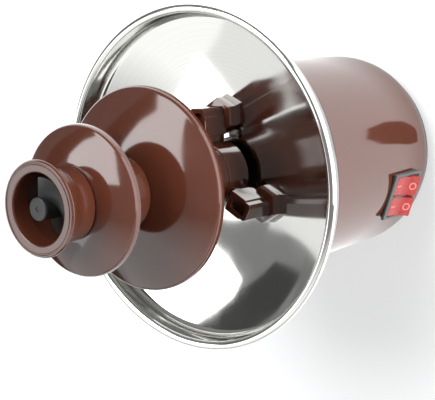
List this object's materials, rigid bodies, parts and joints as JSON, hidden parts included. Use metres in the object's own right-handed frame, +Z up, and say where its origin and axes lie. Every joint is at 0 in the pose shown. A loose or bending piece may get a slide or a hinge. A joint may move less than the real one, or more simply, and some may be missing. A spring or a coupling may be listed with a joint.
{
  "type": "chocolate fountain",
  "caption": "Table-top chocolate fountain: round motor base with double rocker switch, heated steel bowl, and a stacked tower of domed tiers with a turning auger inside",
  "frame": {"origin": "on the tower's axis, at the plane on which the rubber feet stand", "axes": "+Z up along the tower's axis from the feet to the crown; -Y towards the switch; +Y towards the lead's inlet"},
  "size_m": [0.19, 0.19, 0.2735],
  "materials": {
    "brown_plastic": "glossy moulded plastic",
    "polished_steel": "polished stainless sheet",
    "dark_plastic": "satin moulded plastic",
    "red_plastic": "glossy moulded plastic",
    "black_rubber": "moulded rubber",
    "zinc_steel": "zinc-plated steel",
    "cast_aluminium": "cast and turned aluminium",
    "tinned_brass": "stamped brass",
    "pale_plastic": "pale moulded nylon or ceramic"
  },
  "bodies": {
    "base": {"base_housing": "brown_plastic", "bottom_cover": "dark_plastic", "rubber_feet": "black_rubber", "cover_screws": "zinc_steel", "bowl": "polished_steel", "bowl_gasket": "black_rubber", "bowl_clips": "zinc_steel", "peg_1": "brown_plastic", "peg_2": "brown_plastic", "peg_3": "brown_plastic", "peg_screws": "zinc_steel", "shaft_bush": "pale_plastic", "bush_nut": "pale_plastic", "shaft_seal": "black_rubber", "heater_plate": "cast_aluminium", "heater_element": "zinc_steel", "thermostat": "dark_plastic", "thermal_fuse": "pale_plastic", "motor_bracket": "zinc_steel", "bracket_screws": "zinc_steel", "gearbox": "cast_aluminium", "gearbox_screws": "zinc_steel", "motor_can": "zinc_steel", "motor_terminals": "tinned_brass", "switch_frame": "dark_plastic", "rocker_pins": "zinc_steel", "switch_terminals": "tinned_brass", "terminal_block": "pale_plastic", "cord_gland": "black_rubber"},
    "drive": {"output_shaft": "zinc_steel", "coupling": "cast_aluminium", "set_screws": "zinc_steel", "drive_shaft": "zinc_steel"},
    "auger": {"auger": "dark_plastic"},
    "tower_foot": {"tower_foot": "brown_plastic"},
    "big_tier": {"big_tier": "brown_plastic"},
    "small_tier": {"small_tier": "brown_plastic"},
    "crown": {"crown": "brown_plastic"},
    "rocker_motor": {"rocker_motor": "red_plastic"},
    "rocker_heat": {"rocker_heat": "red_plastic"}
  },
  "joints": [
    {"name": "drive_turn", "type": "hinge", "parent": "base", "child": "drive", "pos_m": [0, 0, 0.095], "axis": [0, 0, 1], "continuous": true},
    {"name": "auger_lift", "type": "slide", "parent": "drive", "child": "auger", "axis": [0, 0, 1], "range_m": [0, 0.16]},
    {"name": "foot_lift", "type": "slide", "parent": "base", "child": "tower_foot", "axis": [0, 0, 1], "range_m": [0, 0.06]},
    {"name": "big_lift", "type": "slide", "parent": "tower_foot", "child": "big_tier", "axis": [0, 0, 1], "range_m": [0, 0.06]},
    {"name": "small_lift", "type": "slide", "parent": "big_tier", "child": "small_tier", "axis": [0, 0, 1], "range_m": [0, 0.06]},
    {"name": "crown_lift", "type": "slide", "parent": "small_tier", "child": "crown", "axis": [0, 0, 1], "range_m": [0, 0.06]},
    {"name": "rocker_motor_press", "type": "hinge", "parent": "base", "child": "rocker_motor", "pos_m": [0.00665, -0.05567, 0.0375], "axis": [1, 0, 0], "range_deg": [0, 33]},
    {"name": "rocker_heat_press", "type": "hinge", "parent": "base", "child": "rocker_heat", "pos_m": [-0.00665, -0.05567, 0.0375], "axis": [1, 0, 0], "range_deg": [0, 33]}
  ]
}
